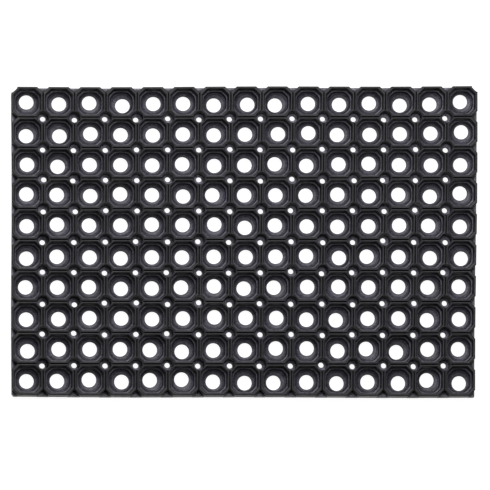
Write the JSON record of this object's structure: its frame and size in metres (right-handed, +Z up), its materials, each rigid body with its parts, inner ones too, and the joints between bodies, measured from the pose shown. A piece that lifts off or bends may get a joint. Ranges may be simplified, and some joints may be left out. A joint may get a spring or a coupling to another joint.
{
  "type": "door mat",
  "caption": "Rectangular moulded rubber drainage door mat with open eight-sided cells, round drain holes and drain posts at the crossings.",
  "frame": {"origin": "middle of the mat's footprint, on the floor it lies on", "axes": "+X along the long side, +Y along the short side towards the back edge, +Z up"},
  "size_m": [0.6, 0.4, 0.022],
  "materials": {
    "black_rubber": "satin"
  },
  "bodies": {
    "root": {"dish_row_01": "black_rubber", "dish_row_02": "black_rubber", "dish_row_03": "black_rubber", "dish_row_04": "black_rubber", "dish_row_05": "black_rubber", "dish_row_06": "black_rubber", "dish_row_07": "black_rubber", "dish_row_08": "black_rubber", "dish_row_09": "black_rubber", "dish_row_10": "black_rubber", "cross_wall_row_01": "black_rubber", "cross_wall_row_02": "black_rubber", "cross_wall_row_03": "black_rubber", "cross_wall_row_04": "black_rubber", "cross_wall_row_05": "black_rubber", "cross_wall_row_06": "black_rubber", "cross_wall_row_07": "black_rubber", "cross_wall_row_08": "black_rubber", "cross_wall_row_09": "black_rubber", "cross_wall_row_10": "black_rubber", "long_wall_row_1": "black_rubber", "long_wall_row_2": "black_rubber", "long_wall_row_3": "black_rubber", "long_wall_row_4": "black_rubber", "long_wall_row_5": "black_rubber", "long_wall_row_6": "black_rubber", "long_wall_row_7": "black_rubber", "long_wall_row_8": "black_rubber", "long_wall_row_9": "black_rubber", "drain_post_row_1": "black_rubber", "drain_post_row_2": "black_rubber", "drain_post_row_3": "black_rubber", "drain_post_row_4": "black_rubber", "drain_post_row_5": "black_rubber", "drain_post_row_6": "black_rubber", "drain_post_row_7": "black_rubber", "drain_post_row_8": "black_rubber", "drain_post_row_9": "black_rubber", "front_outer_wall": "black_rubber", "back_outer_wall": "black_rubber", "left_outer_wall": "black_rubber", "right_outer_wall": "black_rubber", "front_edge_tabs": "black_rubber", "back_edge_tabs": "black_rubber", "left_edge_tabs": "black_rubber", "right_edge_tabs": "black_rubber", "mat_corners": "black_rubber", "front_left_corner_tab": "black_rubber", "front_right_corner_tab": "black_rubber"}
  },
  "joints": []
}
